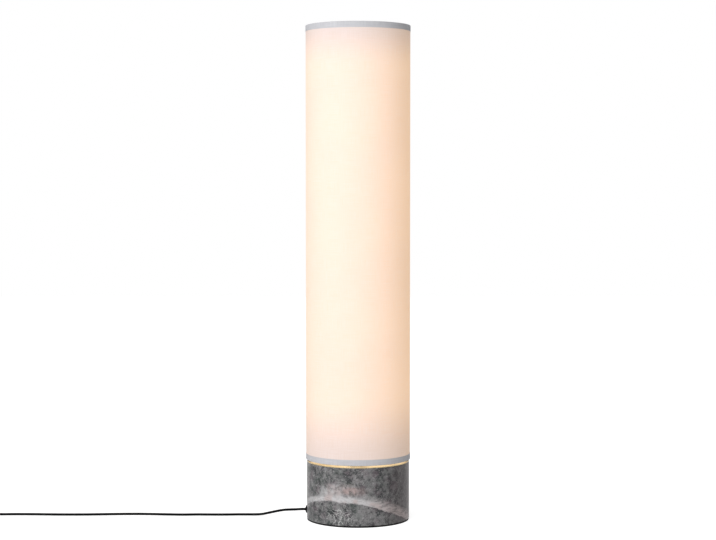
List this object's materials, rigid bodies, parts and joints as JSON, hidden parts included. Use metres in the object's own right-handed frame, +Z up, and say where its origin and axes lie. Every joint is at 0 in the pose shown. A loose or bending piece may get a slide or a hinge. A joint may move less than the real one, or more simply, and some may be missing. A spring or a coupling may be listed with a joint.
{
  "type": "column floor lamp",
  "caption": "Tall cylindrical fabric shade lit from an inner light column, on a round stone base with a brass plate and a corded foot switch.",
  "frame": {"origin": "centre of the foot pad's underside, on the floor, under the lamp's axis", "axes": "+Z up along the lamp's axis; the cord leaves towards -X; the pictured side faces -Y"},
  "size_m": [1.2654, 0.2662, 1.2],
  "materials": {
    "foot_pad": "matt black foam rubber",
    "black_steel": "satin black powder coat",
    "zinc_steel": "zinc plated",
    "marble": "polished dark grey veined marble",
    "brass": "brushed and lacquered",
    "black_plastic": "fine sparked black",
    "white_plastic": "plain moulded",
    "black_cord": "smooth soft sheath",
    "red_wire": "smooth insulation",
    "aluminium": "satin anodised",
    "led": "lit warm white light sources",
    "shade_fabric": "plain woven off-white cloth, lit from inside",
    "shade_liner": "translucent white film, lit from inside",
    "hem_fabric": "plain woven cloth, folded double and opaque",
    "frame_wire": "white powder coat",
    "tie": "matt black strap",
    "button_plastic": "polished black",
    "spring_steel": "bright drawn wire",
    "black_rubber": "soft black",
    "nickel": "nickel plated"
  },
  "bodies": {
    "base": {"foot_pad": "foot_pad", "base_plate": "black_steel", "base_screws": "zinc_steel", "marble_base": "marble", "brass_plate": "brass", "cable_gland": "black_plastic", "cord_clamp": "black_plastic", "terminal_block": "white_plastic", "led_driver": "white_plastic", "inner_lead": "black_cord", "driver_wires": "red_wire", "stem": "zinc_steel", "stem_nut": "zinc_steel", "stem_washer": "zinc_steel", "column_foot": "aluminium", "light_column": "aluminium", "led_strips": "led", "top_cap": "aluminium", "cord_lead": "black_cord", "cord_mid": "black_cord", "cord_coil": "black_cord", "cord_tail": "black_cord", "coil_tie": "tie", "switch_base": "black_plastic", "switch_cover": "black_plastic", "switch_spring": "spring_steel", "switch_block": "white_plastic", "switch_grommets": "black_rubber", "switch_screws": "zinc_steel", "plug_body": "black_plastic", "plug_pins": "nickel"},
    "shade": {"shade_fabric": "shade_fabric", "shade_liner": "shade_liner", "hem_top": "hem_fabric", "hem_bottom": "hem_fabric", "shade_frame_top": "frame_wire", "shade_frame_bottom": "frame_wire"},
    "finial": {"finial": "brass"},
    "button": {"switch_button": "button_plastic"}
  },
  "joints": [
    {"name": "shade_lift", "type": "slide", "parent": "base", "child": "shade", "axis": [0, 0, 1], "range_m": [0, 1.06]},
    {"name": "finial_turn", "type": "hinge", "parent": "shade", "child": "finial", "pos_m": [0, 0, 1.175], "axis": [0, 0, 1], "continuous": true},
    {"name": "switch_press", "type": "slide", "parent": "base", "child": "button", "axis": [0, 0, -1], "range_m": [0, 0.0025], "stiffness_N_per_m": 800, "springref_m": -0.0015, "deforming": ["switch_spring"]}
  ]
}
